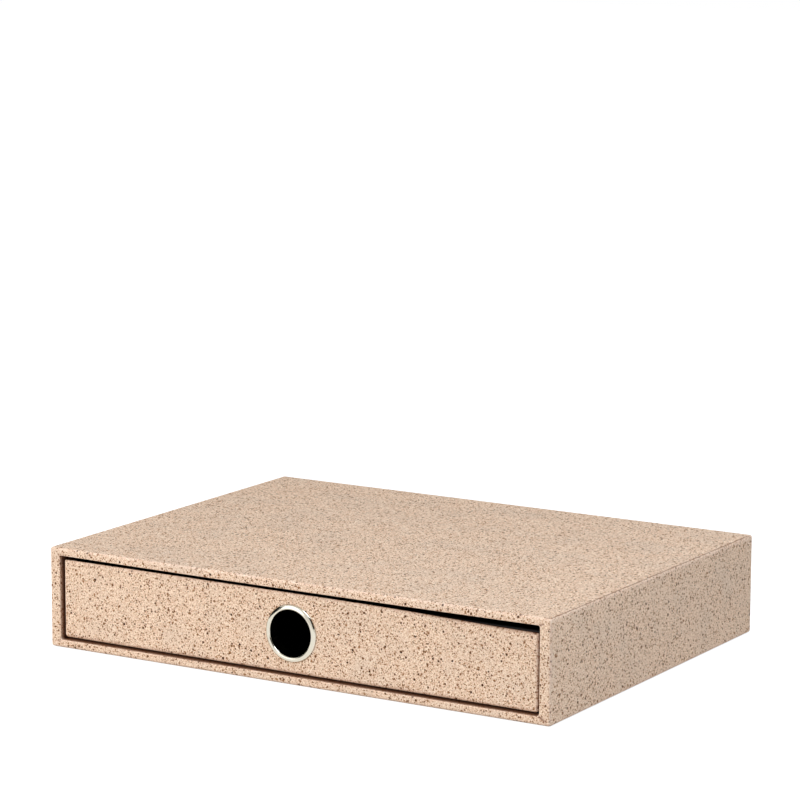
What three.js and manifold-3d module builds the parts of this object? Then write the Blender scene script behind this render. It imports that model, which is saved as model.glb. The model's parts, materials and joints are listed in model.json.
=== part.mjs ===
// File box with one drawer.
// A case of greyboard covered in speckled paper, open at the front, holds a tray of black board.
// The tray slides on the floor of the case and is pulled by a round metal eyelet in its facing.
// Millimetres. +X runs to the right, +Y from the drawer's face to the back, +Z up.
// The origin is the middle of the underside.

import * as THREE from 'three';
import { RoundedBoxGeometry } from 'three/addons/geometries/RoundedBoxGeometry.js';
import { mergeVertices } from 'three/addons/utils/BufferGeometryUtils.js';
import Module from 'manifold-3d';

const wasm = await Module();
wasm.setup();

// Outside of the whole box
const boxWidth = 335;
const boxDepth = 250;
const boxHeight = 60;
const edgeRound = 1.5;

// Sheets, and the glue between two of them
const coverPaper = 0.3;
const blackPaper = 0.3;
const glueLine = 0.05;

// Boards of the case
const caseBoard = 1.9;
const linerBoard = 1.9;
const sideSpacerBoard = 2.5;

// How far the cover paper is turned in at the mouth and turned over at the back and the base
const mouthTurnIn = 18;
const outsideTurnOver = 15;
const pastedSheetMargin = 2;

// Boards of the drawer, and how far its papers are turned over
const trayBoard = 2.1;
const trayBaseBoard = 2.1;
const facingBoard = 2.1;
const trayTurnOver = 12;
const facingTurnOver = 12;

// Radius of the facing's edges, as a share of its thickness
const facingRoundShare = 0.42;

// How the drawer sits in the mouth
const facingRecess = 1.9;
const facingSideClearance = 1.65;
const facingBottomClearance = 1.55;
const facingTopClearance = 2.75;
const traySideClearance = 1.9;
const trayFloorClearance = 0.3;
const trayTopClearance = 4.1;
const trayBackClearance = 0.3;

// The facing's top edge sags towards its right end.
// Each row is a share of the width from the left and a share of the sag, from the right end back.
const facingSag = 2.85;
const facingSagShares = [
  [1, 1], [0.815, 0.65], [0.66, 0.38], [0.5, 0.18], [0.34, 0.07], [0.15, 0],
];

// Metal eyelet, and the washer that it is rolled over
const eyeletBore = 27;
const eyeletFlangeWidth = 3.25;
const eyeletDome = 1.5;
const eyeletMetal = 0.6;
const eyeletRollWidth = 2;
const eyeletRollDepth = 0.9;
const eyeletHoleClearance = 0.3;
const washerRim = 0.9;
const washerThickness = 0.5;

// Fineness of round shapes
const circleSteps = 48;
const domeSteps = 8;
const edgeSteps = 3;

// Every cut runs this far past the piece that it cuts
const overrun = 1;

// Materials
function speckledPaper() {
  return new THREE.MeshStandardMaterial({ color: '#e3c5aa', roughness: 0.85, metalness: 0 });
}

function greyBoard() {
  return new THREE.MeshStandardMaterial({ color: '#9a9488', roughness: 0.9, metalness: 0 });
}

function blackBoard() {
  return new THREE.MeshStandardMaterial({ color: '#201e1d', roughness: 0.8, metalness: 0 });
}

function blackSheet() {
  return new THREE.MeshStandardMaterial({ color: '#171615', roughness: 0.6, metalness: 0 });
}

function nickelPlate() {
  return new THREE.MeshStandardMaterial({ color: '#d2cdc4', roughness: 0.15, metalness: 1 });
}

// A span is the low and the high end of a piece along one axis
function middle(span) {
  return (span[0] + span[1]) / 2;
}

function extent(span) {
  return span[1] - span[0];
}

function centred(width) {
  return [-width / 2, width / 2];
}

function inset(span, margin) {
  return [span[0] + margin, span[1] - margin];
}

function from(low, thickness) {
  return [low, low + thickness];
}

function upTo(high, thickness) {
  return [high - thickness, high];
}

// A closed geometry as a solid that can be joined and cut
function solid(geometry) {
  const bare = geometry.clone();
  bare.deleteAttribute('normal');
  bare.deleteAttribute('uv');
  const merged = mergeVertices(bare);
  return new wasm.Manifold(new wasm.Mesh({
    numProp: 3,
    vertProperties: new Float32Array(merged.attributes.position.array),
    triVerts: new Uint32Array(merged.index.array),
  }));
}

function block(x, y, z) {
  const geometry = new THREE.BoxGeometry(extent(x), extent(y), extent(z));
  geometry.translate(middle(x), middle(y), middle(z));
  return solid(geometry);
}

function roundedBlock(x, y, z, round) {
  const geometry = new RoundedBoxGeometry(extent(x), extent(y), extent(z), edgeSteps, round);
  geometry.translate(middle(x), middle(y), middle(z));
  return solid(geometry);
}

// A round bar along Y
function roundBar(radius, y, x, z) {
  const geometry = new THREE.CylinderGeometry(radius, radius, extent(y), circleSteps);
  geometry.translate(x, middle(y), z);
  return solid(geometry);
}

// A plate of a given outline in the plane of the facing, with its edges rounded
function plate(outline, y, round) {
  const geometry = new THREE.ExtrudeGeometry(outline, {
    depth: extent(y) - 2 * round,
    bevelEnabled: round > 0,
    bevelThickness: round,
    bevelSize: round,
    bevelOffset: -round,
    bevelSegments: edgeSteps,
  });
  geometry.rotateX(Math.PI / 2);
  geometry.translate(0, y[1] - round, 0);
  return solid(geometry);
}

function piece(name, shape, material) {
  const mesh = shape.getMesh();
  const geometry = new THREE.BufferGeometry();
  geometry.setAttribute('position', new THREE.BufferAttribute(mesh.vertProperties, mesh.numProp));
  geometry.setIndex(new THREE.BufferAttribute(mesh.triVerts, 1));
  geometry.computeVertexNormals();
  const made = new THREE.Mesh(geometry, material);
  made.name = name;
  return made;
}

// A flat board or sheet, placed by its middle
function flatPiece(name, x, y, z, material) {
  const made = new THREE.Mesh(new THREE.BoxGeometry(extent(x), extent(y), extent(z)), material);
  made.name = name;
  made.position.set(middle(x), middle(y), middle(z));
  return made;
}

// Outside of the cover paper: the back sheet and the base sheet are pasted on it
const coverX = centred(boxWidth);
const coverY = [-boxDepth / 2, boxDepth / 2 - coverPaper - glueLine];
const coverZ = [coverPaper + glueLine, boxHeight];

// Outside of the boards under the cover paper
const coverSkin = coverPaper + glueLine;
const coreX = inset(coverX, coverSkin);
const coreY = inset(coverY, coverSkin);
const coreZ = inset(coverZ, coverSkin);

// Layers of the case from the outside in, each a glue line from the last
const backBoardY = upTo(coreY[1], caseBoard);
const wallY = [coreY[0], backBoardY[0] - glueLine];
const topBoardZ = upTo(coreZ[1], caseBoard);
const bottomBoardZ = from(coreZ[0], caseBoard);
const sideZ = [bottomBoardZ[1] + glueLine, topBoardZ[0] - glueLine];
const spacerX = inset(coreX, caseBoard + glueLine);
const bayX = inset(spacerX, sideSpacerBoard + glueLine);
const linerInnerX = inset(bayX, linerBoard);
const linerInnerZ = inset(sideZ, linerBoard);

// Clear opening of the mouth, inside the turned-in paper
const mouthX = inset(linerInnerX, coverSkin);
const mouthZ = inset(linerInnerZ, coverSkin);

// Inside face of the case's back
const backLiningY = upTo(backBoardY[0] - glueLine, blackPaper);

function caseBoards() {
  const core = roundedBlock(coreX, coreY, coreZ, edgeRound - coverSkin);
  const shapes = {
    case_top_board: block(coreX, wallY, topBoardZ),
    case_bottom_board: block(coreX, wallY, bottomBoardZ),
    case_left_board: block(from(coreX[0], caseBoard), wallY, sideZ),
    case_right_board: block(upTo(coreX[1], caseBoard), wallY, sideZ),
    case_back_board: block(coreX, backBoardY, coreZ),
  };
  return Object.entries(shapes).map(
    ([name, shape]) => piece(name, shape.intersect(core), greyBoard()),
  );
}

function caseSpacers() {
  return [
    flatPiece('case_left_spacer', from(spacerX[0], sideSpacerBoard), wallY, sideZ, greyBoard()),
    flatPiece('case_right_spacer', upTo(spacerX[1], sideSpacerBoard), wallY, sideZ, greyBoard()),
  ];
}

function caseLiners() {
  const betweenZ = inset(linerInnerZ, glueLine);
  return [
    flatPiece('case_top_liner', bayX, wallY, upTo(sideZ[1], linerBoard), blackBoard()),
    flatPiece('case_bottom_liner', bayX, wallY, from(sideZ[0], linerBoard), blackBoard()),
    flatPiece('case_left_liner', from(bayX[0], linerBoard), wallY, betweenZ, blackBoard()),
    flatPiece('case_right_liner', upTo(bayX[1], linerBoard), wallY, betweenZ, blackBoard()),
  ];
}

function caseBackLining() {
  const x = inset(linerInnerX, glueLine);
  const z = inset(linerInnerZ, glueLine);
  return flatPiece('case_back_lining', x, backLiningY, z, blackSheet());
}

// One sheet: top, sides, front lips, the turn-in of the mouth and the turn-overs behind and below
function caseCoverPaper() {
  const pocketX = inset(coverX, coverPaper);
  const pocketY = inset(coverY, coverPaper);
  const pocketZ = inset(coverZ, coverPaper);
  const turnInY = from(coverY[0], mouthTurnIn);
  const pastMouthY = inset(turnInY, -overrun);
  const backWindowY = [coreY[1], coverY[1] + overrun];
  const baseWindowZ = [coverZ[0] - overrun, coreZ[0]];
  const shape = roundedBlock(coverX, coverY, coverZ, edgeRound)
    .subtract(roundedBlock(pocketX, pocketY, pocketZ, edgeRound - coverPaper))
    .add(block(inset(mouthX, -coverPaper), turnInY, inset(mouthZ, -coverPaper)))
    .subtract(block(mouthX, pastMouthY, mouthZ))
    .subtract(block(inset(coverX, outsideTurnOver), backWindowY, inset(coverZ, outsideTurnOver)))
    .subtract(block(inset(coverX, outsideTurnOver), inset(coverY, outsideTurnOver), baseWindowZ));
  return piece('case_cover_paper', shape, speckledPaper());
}

function caseBackSheet() {
  const x = inset(coverX, pastedSheetMargin);
  const y = upTo(boxDepth / 2, coverPaper);
  const z = inset(coverZ, pastedSheetMargin);
  return flatPiece('case_back_sheet', x, y, z, speckledPaper());
}

function caseBaseSheet() {
  const x = inset(coverX, pastedSheetMargin);
  const y = inset(coverY, pastedSheetMargin);
  return flatPiece('case_base_sheet', x, y, from(0, coverPaper), speckledPaper());
}

// Outside of the facing with its paper, and the board inside that paper
const facingX = inset(mouthX, facingSideClearance);
const facingZ = [mouthZ[0] + facingBottomClearance, mouthZ[1] - facingTopClearance];
const facingY = from(coverY[0] + facingRecess, coverSkin + facingBoard + coverSkin);
const facingBoardY = inset(facingY, coverSkin);
const facingRound = facingRoundShare * extent(facingY);

// Outside of the tray with its paper, and the boards inside that paper
const traySkin = blackPaper + glueLine;
const trayX = inset(mouthX, traySideClearance);
const trayY = [facingY[1] + glueLine, backLiningY[0] - trayBackClearance];
const trayBaseSheetZ = from(mouthZ[0] + trayFloorClearance, blackPaper);
const trayZ = [trayBaseSheetZ[1] + glueLine, mouthZ[1] - trayTopClearance];
const trayCoreX = inset(trayX, traySkin);
const trayCoreY = inset(trayY, traySkin);
const trayCoreZ = inset(trayZ, traySkin);
const trayBaseBoardZ = from(trayCoreZ[0], trayBaseBoard);
const trayWallZ = [trayBaseBoardZ[1] + glueLine, trayCoreZ[1]];
const trayFrontBoardY = from(trayCoreY[0], trayBoard);
const trayInnerX = inset(trayCoreX, trayBoard);
const trayInnerY = inset(trayCoreY, trayBoard);

// Finger hole in the middle of the facing's height
const eyeletX = middle(facingX);
const eyeletZ = middle(facingZ);
const eyeletBoreRadius = eyeletBore / 2;
const eyeletBarrelRadius = eyeletBoreRadius + eyeletMetal;
const eyeletFlangeRadius = eyeletBoreRadius + eyeletFlangeWidth;
const eyeletRollRadius = eyeletBarrelRadius + eyeletRollWidth;
const eyeletHoleRadius = eyeletBarrelRadius + eyeletHoleClearance;
const washerY = from(trayInnerY[0] + traySkin + glueLine, washerThickness);

function fingerHole(y) {
  return roundBar(eyeletHoleRadius, inset(y, -overrun), eyeletX, eyeletZ);
}

function facingOutline(margin) {
  const [left, right] = inset(facingX, margin);
  const [bottom, top] = inset(facingZ, margin);
  const outline = new THREE.Shape();
  outline.moveTo(left, bottom);
  outline.lineTo(right, bottom);
  for (const [acrossShare, sagShare] of facingSagShares) {
    outline.lineTo(left + acrossShare * (right - left), top - sagShare * facingSag);
  }
  outline.lineTo(left, top);
  outline.closePath();
  return outline;
}

function facingBoardPiece() {
  const shape = plate(facingOutline(coverSkin), facingBoardY, facingRound - coverSkin)
    .subtract(fingerHole(facingBoardY));
  return piece('facing_board', shape, greyBoard());
}

// The paper covers the facing's front and edges and is turned over behind it
function facingCoverPaper() {
  const pocketY = inset(facingY, coverPaper);
  const windowY = [facingBoardY[1], facingY[1] + overrun];
  const shape = plate(facingOutline(0), facingY, facingRound)
    .subtract(plate(facingOutline(coverPaper), pocketY, facingRound - coverPaper))
    .subtract(plate(facingOutline(facingTurnOver), windowY, 0))
    .subtract(fingerHole(facingY));
  return piece('facing_cover_paper', shape, speckledPaper());
}

function trayFrontBoard() {
  const x = inset(trayInnerX, glueLine);
  const shape = block(x, trayFrontBoardY, trayWallZ).subtract(fingerHole(trayFrontBoardY));
  return piece('tray_front_board', shape, blackBoard());
}

function trayBoards() {
  const betweenX = inset(trayInnerX, glueLine);
  const backY = upTo(trayCoreY[1], trayBoard);
  const leftX = from(trayCoreX[0], trayBoard);
  const rightX = upTo(trayCoreX[1], trayBoard);
  return [
    flatPiece('tray_base_board', trayCoreX, trayCoreY, trayBaseBoardZ, blackBoard()),
    flatPiece('tray_left_board', leftX, trayCoreY, trayWallZ, blackBoard()),
    flatPiece('tray_right_board', rightX, trayCoreY, trayWallZ, blackBoard()),
    flatPiece('tray_back_board', betweenX, backY, trayWallZ, blackBoard()),
    trayFrontBoard(),
  ];
}

// Black paper round the tray, turned in over the top of the walls and turned over under the base
function trayWallPaper() {
  const pocketX = inset(trayX, blackPaper);
  const pocketY = inset(trayY, blackPaper);
  const pocketZ = inset(trayZ, blackPaper);
  const turnInZ = upTo(trayZ[1], trayTurnOver);
  const insideX = inset(trayInnerX, traySkin);
  const insideY = inset(trayInnerY, traySkin);
  const baseWindowZ = [trayZ[0] - overrun, trayCoreZ[0]];
  const frontY = [trayY[0], washerY[0]];
  const shape = block(trayX, trayY, trayZ)
    .subtract(block(pocketX, pocketY, pocketZ))
    .add(block(inset(insideX, -blackPaper), inset(insideY, -blackPaper), turnInZ))
    .subtract(block(insideX, insideY, inset(turnInZ, -overrun)))
    .subtract(block(inset(trayX, trayTurnOver), inset(trayY, trayTurnOver), baseWindowZ))
    .subtract(fingerHole(frontY));
  return piece('tray_wall_paper', shape, blackSheet());
}

function trayLining() {
  const x = inset(trayInnerX, glueLine);
  const y = inset(trayInnerY, glueLine);
  return flatPiece('tray_floor_lining', x, y, from(trayWallZ[0], blackPaper), blackSheet());
}

function trayBaseSheet() {
  const x = inset(trayX, pastedSheetMargin);
  const y = inset(trayY, pastedSheetMargin);
  return flatPiece('tray_base_sheet', x, y, trayBaseSheetZ, blackSheet());
}

// Half an ellipse in section, from the outer radius to the inner one
function domeArc(outerRadius, innerRadius, baseY, rise) {
  const arc = new THREE.EllipseCurve(
    (outerRadius + innerRadius) / 2, baseY, (outerRadius - innerRadius) / 2, rise, 0, Math.PI, false,
  );
  return arc.getPoints(domeSteps);
}

// Sheet metal: a domed flange on the facing, a barrel through both boards and a rolled end
function eyelet() {
  const bore = eyeletBoreRadius;
  const barrel = eyeletBarrelRadius;
  const flange = eyeletFlangeRadius;
  const roll = eyeletRollRadius;
  const flangeSeat = facingY[0] - glueLine;
  const rollSeat = washerY[1] + glueLine;
  const profile = [
    ...domeArc(flange - eyeletMetal, barrel, flangeSeat, eyeletMetal - eyeletDome),
    ...domeArc(roll - eyeletMetal, barrel, rollSeat, eyeletRollDepth - eyeletMetal).reverse(),
    ...domeArc(roll, bore, rollSeat, eyeletRollDepth),
    ...domeArc(flange, bore, flangeSeat, -eyeletDome).reverse(),
  ];
  profile.push(profile[0].clone());
  const geometry = new THREE.LatheGeometry(profile, circleSteps);
  geometry.translate(eyeletX, 0, eyeletZ);
  return piece('eyelet', solid(geometry), nickelPlate());
}

function eyeletWasher() {
  const radius = eyeletRollRadius + washerRim;
  const shape = roundBar(radius, washerY, eyeletX, eyeletZ).subtract(fingerHole(washerY));
  return piece('eyelet_washer', shape, nickelPlate());
}

const fixedCase = new THREE.Group();
fixedCase.add(
  ...caseBoards(),
  ...caseSpacers(),
  ...caseLiners(),
  caseBackLining(),
  caseCoverPaper(),
  caseBackSheet(),
  caseBaseSheet(),
);

const drawer = new THREE.Group();
drawer.add(
  facingBoardPiece(),
  facingCoverPaper(),
  ...trayBoards(),
  trayWallPaper(),
  trayLining(),
  trayBaseSheet(),
  eyelet(),
  eyeletWasher(),
);

const fileBox = new THREE.Group();
fileBox.add(fixedCase, drawer);

export default fileBox;
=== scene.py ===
# %% [markdown]
# # A paper-covered file box with a drawer
#
# The real box is a case of thick board under a flecked craft paper, with a black-lined drawer
# that is pulled by a round metal eyelet. Its pieces, sizes and joint are already fixed in a
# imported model. This notebook dresses that model: it makes the folded papers and the spun eyelet
# afresh with soft edges, gives every piece its finish, and sets the light and the camera.

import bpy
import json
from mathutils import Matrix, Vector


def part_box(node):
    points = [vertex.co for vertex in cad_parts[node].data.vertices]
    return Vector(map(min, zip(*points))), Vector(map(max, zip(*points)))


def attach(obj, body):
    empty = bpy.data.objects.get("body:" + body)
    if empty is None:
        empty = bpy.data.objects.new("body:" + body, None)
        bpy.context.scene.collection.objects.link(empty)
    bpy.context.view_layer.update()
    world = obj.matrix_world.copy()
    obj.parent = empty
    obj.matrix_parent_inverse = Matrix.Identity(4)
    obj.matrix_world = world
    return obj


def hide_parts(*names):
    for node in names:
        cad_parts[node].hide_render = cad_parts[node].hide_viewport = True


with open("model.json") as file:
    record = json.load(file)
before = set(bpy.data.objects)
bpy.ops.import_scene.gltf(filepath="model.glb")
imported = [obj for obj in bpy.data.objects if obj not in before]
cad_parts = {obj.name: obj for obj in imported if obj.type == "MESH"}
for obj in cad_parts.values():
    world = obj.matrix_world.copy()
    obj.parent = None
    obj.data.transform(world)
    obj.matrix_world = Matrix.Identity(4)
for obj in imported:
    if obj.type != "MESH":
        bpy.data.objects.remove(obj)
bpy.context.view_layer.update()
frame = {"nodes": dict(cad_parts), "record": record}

# %% [markdown]
# ## Units and colours
#
# The model is in metres, and paper is measured in tenths of a millimetre, so lengths are
# written in millimetres and multiplied by MM. Colours are written as the sRGB hex values that
# the eye would pick from a picture, and one function turns them into the linear light that
# Blender's shaders want.

# %% Units and colours
import json
import math
from collections import namedtuple

import bmesh
import bpy
import numpy as np
from mathutils import Quaternion, Vector

MM = 0.001


def linear(code):
    """The linear colour of a hex sRGB one."""
    channels = [int(code[place:place + 2], 16) / 255 for place in (1, 3, 5)]
    curved = [c / 12.92 if c <= 0.04045 else ((c + 0.055) / 1.055) ** 2.4 for c in channels]
    return (*curved, 1.0)


# %% [markdown]
# ## Camera
#
# The box is seen from its front right, a little from above, through a long lens, so its upright
# edges stay nearly parallel. An empty to track would do, but here the camera is set by the
# direction that it looks along and a slight roll, which are the two things that were measured.

# %% Camera
CAMERA_PLACE_MM = (995, -1642, 484)
CAMERA_AZIMUTH_DEG = 31.31
CAMERA_ELEVATION_DEG = 10.03
CAMERA_ROLL_DEG = 0.19
SENSOR_WIDTH_MM = 36
FOCAL_SHARE_OF_WIDTH = 4.149
NEAREST_SEEN = 0.05
FARTHEST_SEEN = 50

data = bpy.data.cameras.new("camera")
data.sensor_width = SENSOR_WIDTH_MM
data.lens = data.sensor_width * FOCAL_SHARE_OF_WIDTH
data.clip_start = NEAREST_SEEN
data.clip_end = FARTHEST_SEEN
camera = bpy.data.objects.new("camera", data)
azimuth, elevation = math.radians(CAMERA_AZIMUTH_DEG), math.radians(CAMERA_ELEVATION_DEG)
looking = Vector((-math.sin(azimuth) * math.cos(elevation),
                  math.cos(azimuth) * math.cos(elevation),
                  -math.sin(elevation)))
roll = Quaternion((0, 0, 1), math.radians(CAMERA_ROLL_DEG))
camera.rotation_mode = "QUATERNION"
camera.rotation_quaternion = looking.to_track_quat("-Z", "Y") @ roll
camera.location = Vector(CAMERA_PLACE_MM) * MM
bpy.context.scene.collection.objects.link(camera)
bpy.context.scene.camera = camera
print("lens:", round(data.lens, 1), "mm")

# %% [markdown]
# ## One helper for shader nodes
#
# Every finish below is a small graph of nodes. One function adds a node, sets its properties
# and fills its sockets, with a plain value or with a link when the value is another socket. Two
# more open an empty material and close it with the shader that all the finishes end in.

# %% Node helper


def add_node(tree, kind, settings=(), **inputs):
    """Adds a node. An input is named by its socket, or by its number after the letter i."""
    node = tree.nodes.new(kind)
    for name, value in dict(settings).items():
        setattr(node, name, value)
    for name, value in inputs.items():
        numbered = name[0] == "i" and name[1:].isdigit()
        socket = node.inputs[int(name[1:]) if numbered else name.replace("_", " ")]
        if isinstance(value, bpy.types.NodeSocket):
            tree.links.new(value, socket)
        else:
            socket.default_value = value
    return node


def start_material(name):
    """An empty material and its tree of nodes."""
    material = bpy.data.materials.new(name)
    material.use_nodes = True
    material.node_tree.nodes.clear()
    return material, material.node_tree


def finish_material(tree, **surface):
    """Closes a tree with one shader, which takes the finish's values and links."""
    shader = add_node(tree, "ShaderNodeBsdfPrincipled", **surface)
    add_node(tree, "ShaderNodeOutputMaterial", Surface=shader.outputs[0])


print("node helper ready")

# %% [markdown]
# ## Light
#
# The box stood in a white studio. A world of plain white gives an even but weak fill, so that
# narrow gaps stay dark. What the camera, metal and glass see of the world is full white, though.
# Both are possible at once, because a light path tells what kind of ray has reached the world.

# %% World
FILL = 0.2


def seen_directly(tree):
    """1 for what the camera sees, also by way of metal or glass, and 0 for what only lights."""
    path = add_node(tree, "ShaderNodeLightPath")
    seen = path.outputs["Is Camera Ray"]
    for ray in ("Is Glossy Ray", "Is Transmission Ray"):
        seen = add_node(tree, "ShaderNodeMath", {"operation": "MAXIMUM"},
                        i0=seen, i1=path.outputs[ray]).outputs[0]
    return seen


world = bpy.data.worlds.new("white_studio")
world.use_nodes = True
tree = world.node_tree
tree.nodes.clear()
fill = add_node(tree, "ShaderNodeBackground", Color=(1, 1, 1, 1), Strength=FILL)
white = add_node(tree, "ShaderNodeBackground", Color=(1, 1, 1, 1), Strength=1.0)
both = add_node(tree, "ShaderNodeMixShader",
                i0=seen_directly(tree), i1=fill.outputs[0], i2=white.outputs[0])
add_node(tree, "ShaderNodeOutputWorld", Surface=both.outputs[0])
bpy.context.scene.world = world
bpy.context.scene.view_settings.view_transform = "Standard"
print("world's fill:", FILL)

# %% [markdown]
# One wide lamp at the front left makes the drawer's face the brightest, and one at the back
# right lights the side without reaching into the mouth. Near lamps would fade over the floor,
# so both are far lamps with a wide disc, which give soft shadows and light the whole floor
# alike. But the box isn't lit quite evenly: its face is brighter at the left, and its top at the
# front right. Two weaker softboxes stand near it for this. All the lamps are kept at the level
# where a colour renders about as it is written. Light from above and behind came by way of the
# room, so it is a touch cooler. The metal doesn't show the softbox that would hide a dark card
# from it.

# %% Lamps
FAR_LAMPS = {
    "front_left_lamp": {"from": (-0.45, -0.80, 0.36), "strength": 0.65, "disc_deg": 40,
                        "colour": (1.0, 1.0, 1.0)},
    "back_right_lamp": {"from": (0.80, 0.45, 0.40), "strength": 1.03, "disc_deg": 50,
                        "colour": (0.94, 1.0, 1.06)},
}
SOFTBOXES = {
    "front_left_softbox": {"place": (-0.9, -1.3, 0.6), "size": 1.0, "watts": 16,
                           "colour": (1.0, 1.0, 1.0), "in_metal": False},
    "front_right_softbox": {"place": (0.5, -0.34, 1.0), "size": 0.55, "watts": 5.7,
                            "colour": (0.89, 1.0, 1.13), "in_metal": True},
}


def hang(data, place):
    """Sets up a lamp that points at the box."""
    lamp = bpy.data.objects.new(data.name, data)
    lamp.location = place
    lamp.rotation_mode = "QUATERNION"
    lamp.rotation_quaternion = (-lamp.location).to_track_quat("-Z", "Y")
    bpy.context.scene.collection.objects.link(lamp)
    return lamp


for name, far_lamp in FAR_LAMPS.items():
    data = bpy.data.lights.new(name, "SUN")
    data.energy = far_lamp["strength"]
    data.color = far_lamp["colour"]
    data.angle = math.radians(far_lamp["disc_deg"])
    hang(data, far_lamp["from"])
for name, softbox in SOFTBOXES.items():
    data = bpy.data.lights.new(name, "AREA")
    data.size = softbox["size"]
    data.energy = softbox["watts"]
    data.color = softbox["colour"]
    hang(data, softbox["place"]).visible_glossy = softbox["in_metal"]
print("lamps:", len(FAR_LAMPS) + len(SOFTBOXES))

# %% [markdown]
# Bright metal shows what stands round it. In a studio that is white, but for the dark room
# past the two ends of the table, and those give an eyelet its thin dark arcs. Two black cards
# stand there, and only glossy rays meet them.

# %% Black cards
CARDS = {
    "left_card": {"place": (-1.5, -0.75, 0.43), "size": (1.8, 0.85)},
    "right_card": {"place": (1.5, -1.25, 2.15), "size": (2.7, 3.7)},
}
CARD_BLACK = "#101010"

card_material, tree = start_material("black_card")
dull = add_node(tree, "ShaderNodeBsdfDiffuse", Color=linear(CARD_BLACK))
add_node(tree, "ShaderNodeOutputMaterial", Surface=dull.outputs[0])
for name, card in CARDS.items():
    half_long, half_tall = (length / 2 for length in card["size"])
    mesh = bpy.data.meshes.new(name)
    mesh.from_pydata([(0, -half_long, -half_tall), (0, half_long, -half_tall),
                      (0, half_long, half_tall), (0, -half_long, half_tall)], [], [(0, 1, 2, 3)])
    mesh.materials.append(card_material)
    stand = bpy.data.objects.new(name, mesh)
    stand.location = card["place"]
    stand.visible_camera = False
    stand.visible_diffuse = False
    stand.visible_transmission = False
    stand.visible_shadow = False
    bpy.context.scene.collection.objects.link(stand)
print("cards:", len(CARDS))

# %% [markdown]
# ## Floor
#
# The box stands on a pale sheet. A white one would send so much light up into the gaps round
# the drawer that they would no longer read as gaps. So the sheet is a light grey, and for what
# the camera and the metal see it gives off light of its own, which brings it to white. The
# box's soft shadow stays on it. Two faces in one plane would flicker into each other, so the
# sheet lies a tenth of a millimetre under the box.

# %% Floor
FLOOR_HALF_WIDTH = 6
FLOOR_COLOUR = "#b8b8b8"
FLOOR_LIFT_TO_WHITE = 0.82
FLOOR_DROP = 0.1 * MM

material, tree = start_material("pale_background_paper")
lift = add_node(tree, "ShaderNodeMath", {"operation": "MULTIPLY"},
                i0=seen_directly(tree), i1=FLOOR_LIFT_TO_WHITE)
sheet = add_node(tree, "ShaderNodeBsdfDiffuse", Color=linear(FLOOR_COLOUR))
glow = add_node(tree, "ShaderNodeEmission", Color=(1, 1, 1, 1), Strength=lift.outputs[0])
both = add_node(tree, "ShaderNodeAddShader", i0=sheet.outputs[0], i1=glow.outputs[0])
add_node(tree, "ShaderNodeOutputMaterial", Surface=both.outputs[0])
mesh = bpy.data.meshes.new("floor")
corners = [(-1, -1), (1, -1), (1, 1), (-1, 1)]
mesh.from_pydata([(FLOOR_HALF_WIDTH * x, FLOOR_HALF_WIDTH * y, -FLOOR_DROP) for x, y in corners],
                 [], [(0, 1, 2, 3)])
mesh.materials.append(material)
floor = bpy.data.objects.new("floor", mesh)
bpy.context.scene.collection.objects.link(floor)
print("floor:", 2 * FLOOR_HALF_WIDTH, "m wide")

# %% [markdown]
# ## Flecked craft paper
#
# The cover is an uncoated craft paper, dyed a warm sand, with brown bran flecks stirred into
# the pulp before the sheet was laid. It is matte and a little fuzzy, and lighter where a fold is
# rubbed. An image of such a paper would show its edges and its repeats, so the flecks are drawn
# as the cells of a Voronoi pattern: each cell has one seed, and random numbers of its own say
# whether a fleck shows there, how big it is and how dark. Three sizes of fleck lie over one
# another, and a noise shifts the place that is looked up, which turns round dots into chips.
# A cell's colour tells where its seed lies in the cell, so it can't serve as the random number:
# the flecks would come in layers. A white noise of that colour is free of this. Sizes are in
# millimetres.

# %% Flecks
Fleck = namedtuple("Fleck", "spacing smallest largest share colour cover")

FLECKS = [
    Fleck(spacing=0.85, smallest=0.2, largest=0.4, share=0.6, colour="#8c5c36", cover=0.95),
    Fleck(spacing=1.3, smallest=0.3, largest=0.6, share=0.55, colour="#572810", cover=1.0),
    Fleck(spacing=2.3, smallest=0.45, largest=0.86, share=0.45, colour="#2e0d03", cover=1.0),
]
FLECK_EDGE = 0.16
PALEST_FLECK = 0.45


def in_millimetres(tree):
    """The place on the piece, so that sizes in a pattern can be written in millimetres."""
    where = add_node(tree, "ShaderNodeTexCoord").outputs["Object"]
    return add_node(tree, "ShaderNodeVectorMath", {"operation": "SCALE"},
                    Vector=where, Scale=1 / MM).outputs[0]


def fleck_cover(tree, place, fleck):
    """How far the flecks of one size cover the paper at a place in millimetres."""
    cells = add_node(tree, "ShaderNodeTexVoronoi", Vector=place, Scale=1 / fleck.spacing)
    drawn = add_node(tree, "ShaderNodeTexWhiteNoise", Vector=cells.outputs["Color"])
    chance = add_node(tree, "ShaderNodeSeparateColor", Color=drawn.outputs["Color"])
    radius = add_node(tree, "ShaderNodeMapRange", Value=chance.outputs[0],
                      To_Min=fleck.smallest / fleck.spacing,
                      To_Max=fleck.largest / fleck.spacing)
    inside = add_node(tree, "ShaderNodeMath", {"operation": "SUBTRACT"},
                      i0=radius.outputs[0], i1=cells.outputs["Distance"])
    edge = add_node(tree, "ShaderNodeMapRange", Value=inside.outputs[0],
                    From_Max=FLECK_EDGE / fleck.spacing)
    shown = add_node(tree, "ShaderNodeMath", {"operation": "LESS_THAN"},
                     i0=chance.outputs[1], i1=fleck.share)
    depth = add_node(tree, "ShaderNodeMapRange", Value=chance.outputs[2],
                     To_Min=PALEST_FLECK * fleck.cover, To_Max=fleck.cover)
    shown = add_node(tree, "ShaderNodeMath", {"operation": "MULTIPLY"},
                     i0=shown.outputs[0], i1=depth.outputs[0])
    return add_node(tree, "ShaderNodeMath", {"operation": "MULTIPLY"},
                    i0=edge.outputs[0], i1=shown.outputs[0]).outputs[0]


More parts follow.
